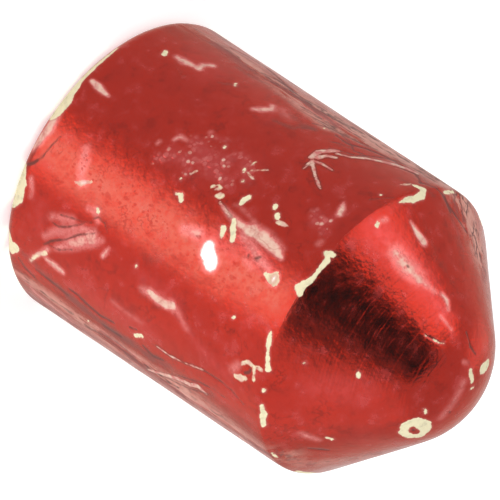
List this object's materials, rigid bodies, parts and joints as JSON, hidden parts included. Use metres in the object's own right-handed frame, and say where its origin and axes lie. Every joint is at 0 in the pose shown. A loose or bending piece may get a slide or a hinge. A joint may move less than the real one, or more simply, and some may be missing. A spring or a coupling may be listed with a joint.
{
  "type": "cue chalk holder",
  "caption": "Round lacquered metal holder for a billiard chalk cube, with a pull-off conical nose cap, a rubber sleeve inside and a magnet in its flat tail.",
  "frame": {"origin": "middle of the flat tail face that the holder stands on", "axes": "+Z along the axis of the barrel from the tail to the nose, X and Y across it, parallel to the sides of the chalk cube"},
  "size_m": [0.04, 0.04, 0.0601],
  "materials": {
    "red_lacquer": "gloss",
    "turned_brass": "satin",
    "spring_steel": "satin",
    "plated_steel": "satin",
    "ferrite": "matte",
    "black_rubber": "matte",
    "green_felt": "matte",
    "blue_chalk": "matte",
    "label_paper": "matte"
  },
  "bodies": {
    "holder": {"barrel": "red_lacquer", "base_plug": "turned_brass", "plug_clip": "spring_steel", "magnet_pot": "plated_steel", "pot_magnet": "ferrite", "base_screw": "plated_steel", "chalk_sleeve": "black_rubber", "chalk_felt": "green_felt", "chalk_cube": "blue_chalk", "chalk_label": "label_paper"},
    "seal_ring": {"cap_seal": "black_rubber"},
    "cap": {"nose_cap": "red_lacquer", "cap_spigot": "turned_brass", "roof_felt": "green_felt"}
  },
  "joints": [
    {"name": "cap_pull", "type": "slide", "parent": "holder", "child": "seal_ring", "axis": [0, 0, 1], "range_m": [0, 0.045]},
    {"name": "cap_twist", "type": "hinge", "parent": "seal_ring", "child": "cap", "pos_m": [0, 0, 0.0401], "axis": [0, 0, 1], "continuous": true}
  ]
}
